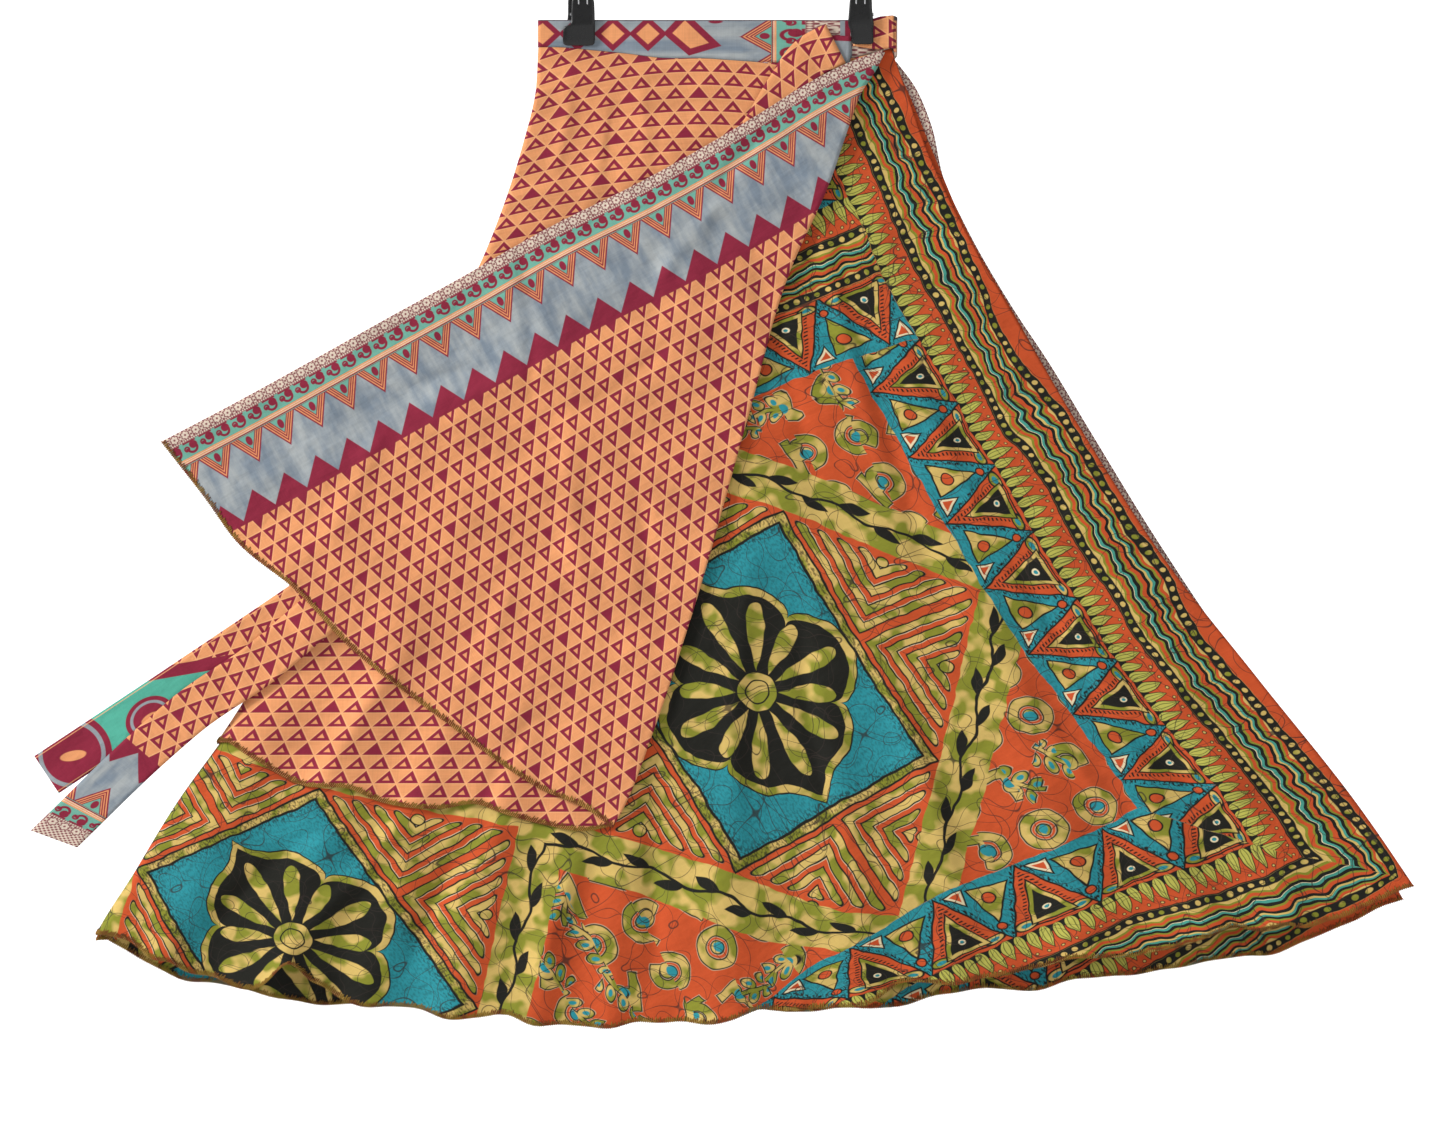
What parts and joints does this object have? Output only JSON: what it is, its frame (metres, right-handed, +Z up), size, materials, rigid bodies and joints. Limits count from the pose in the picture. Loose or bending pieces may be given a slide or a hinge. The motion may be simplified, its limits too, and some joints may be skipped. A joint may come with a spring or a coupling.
{
  "type": "wrap skirt on a clip hanger",
  "caption": "Reversible two-layer wrap skirt folded in two and hung by its waistband from a clip hanger, short front turned back.",
  "frame": {"origin": "inner top of the hanger's hook, where it hangs on a rail", "axes": "+Z up, +X to the right as seen from the front, the front faces -Y"},
  "size_m": [1.2705, 0.0528, 1.0411],
  "materials": {
    "peach_cloth": "fine plain weave, peach with small maroon triangles, slight sheen",
    "orange_cloth": "fine plain weave, orange with a resist-dyed style print, slight sheen",
    "band_cloth": "fine plain weave, grey-blue with maroon and peach figures",
    "tie_cloth": "fine plain weave, peach, green and maroon",
    "black_plastic": "moulded black plastic, semi-gloss",
    "steel": "plain steel wire and strip"
  },
  "bodies": {
    "root": {"waistband": "band_cloth", "inner_front": "orange_cloth", "inner_back": "orange_cloth", "outer_front": "peach_cloth", "outer_back": "peach_cloth", "tie_upper": "tie_cloth", "tie_lower": "tie_cloth", "hanger_hook": "steel", "hanger_bar": "steel", "clip_left_front_jaw": "black_plastic", "clip_left_back_jaw": "black_plastic", "clip_left_pin": "steel", "clip_left_strap": "steel", "clip_right_front_jaw": "black_plastic", "clip_right_back_jaw": "black_plastic", "clip_right_pin": "steel", "clip_right_strap": "steel"}
  },
  "joints": []
}
